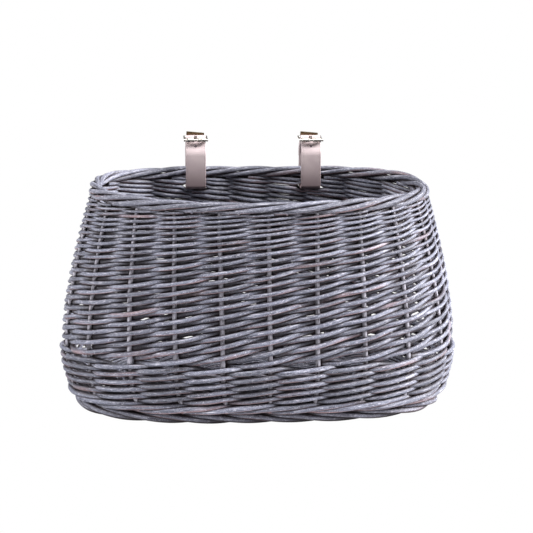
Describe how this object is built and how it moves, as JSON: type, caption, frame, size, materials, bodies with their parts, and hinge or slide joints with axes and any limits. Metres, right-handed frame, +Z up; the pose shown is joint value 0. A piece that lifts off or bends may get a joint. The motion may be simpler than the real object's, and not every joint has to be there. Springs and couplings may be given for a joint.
{
  "type": "handlebar basket",
  "caption": "Woven willow basket that hangs on a bicycle handlebar by two buckled leather straps through its back wall.",
  "frame": {"origin": "on the ground under the middle of the basket's overall box", "axes": "+Z up, -Y the front of the basket, +Y the back with the straps, +X to the right seen from the front"},
  "size_m": [0.3807, 0.2179, 0.2434],
  "materials": {
    "willow_weave": "grey-washed peeled willow rods",
    "willow_border": "grey-washed peeled willow rods, thicker",
    "willow_stake": "grey-washed peeled willow rods",
    "strap_leather": "smooth taupe artificial leather",
    "nickel_metal": "plated cast metal"
  },
  "bodies": {
    "basket": {"base_cross_stick_01": "willow_stake", "base_cross_stick_02": "willow_stake", "base_cross_stick_03": "willow_stake", "base_cross_stick_04": "willow_stake", "base_cross_stick_05": "willow_stake", "base_cross_stick_06": "willow_stake", "base_cross_stick_07": "willow_stake", "base_long_stick_01": "willow_stake", "base_long_stick_02": "willow_stake", "base_long_stick_03": "willow_stake", "base_weave": "willow_weave", "foot_border": "willow_border", "rim_border": "willow_border", "siding_weave": "willow_weave", "stake_01": "willow_stake", "stake_02": "willow_stake", "stake_03": "willow_stake", "stake_04": "willow_stake", "stake_05": "willow_stake", "stake_06": "willow_stake", "stake_07": "willow_stake", "stake_08": "willow_stake", "stake_09": "willow_stake", "stake_10": "willow_stake", "stake_11": "willow_stake", "stake_12": "willow_stake", "stake_13": "willow_stake", "stake_14": "willow_stake", "stake_15": "willow_stake", "stake_16": "willow_stake", "stake_17": "willow_stake", "stake_18": "willow_stake", "stake_19": "willow_stake", "stake_20": "willow_stake", "stake_21": "willow_stake", "stake_22": "willow_stake", "upsett_wale": "willow_weave", "wale_band": "willow_weave"},
    "left_strap": {"left_strap": "strap_leather"},
    "left_buckle_frame": {"left_buckle_frame": "nickel_metal"},
    "left_buckle_prong": {"left_buckle_prong": "nickel_metal"},
    "right_strap": {"right_strap": "strap_leather"},
    "right_buckle_frame": {"right_buckle_frame": "nickel_metal"},
    "right_buckle_prong": {"right_buckle_prong": "nickel_metal"}
  },
  "joints": [
    {"name": "left_strap_swing", "type": "hinge", "parent": "basket", "child": "left_strap", "pos_m": [-0.058, 0.09122, 0.1905], "axis": [1, 0, 0], "range_deg": [-8, 8]},
    {"name": "left_buckle_rock", "type": "hinge", "parent": "left_strap", "child": "left_buckle_frame", "pos_m": [-0.058, 0.09122, 0.2379], "axis": [1, 0, 0], "range_deg": [-3, 3]},
    {"name": "left_prong_lift", "type": "hinge", "parent": "left_buckle_frame", "child": "left_buckle_prong", "pos_m": [-0.058, 0.09122, 0.2379], "axis": [-1, 0, 0], "range_deg": [0, 12]},
    {"name": "right_strap_swing", "type": "hinge", "parent": "basket", "child": "right_strap", "pos_m": [0.058, 0.09122, 0.1905], "axis": [1, 0, 0], "range_deg": [-8, 8]},
    {"name": "right_buckle_rock", "type": "hinge", "parent": "right_strap", "child": "right_buckle_frame", "pos_m": [0.058, 0.09122, 0.2379], "axis": [1, 0, 0], "range_deg": [-3, 3]},
    {"name": "right_prong_lift", "type": "hinge", "parent": "right_buckle_frame", "child": "right_buckle_prong", "pos_m": [0.058, 0.09122, 0.2379], "axis": [-1, 0, 0], "range_deg": [0, 12]}
  ]
}
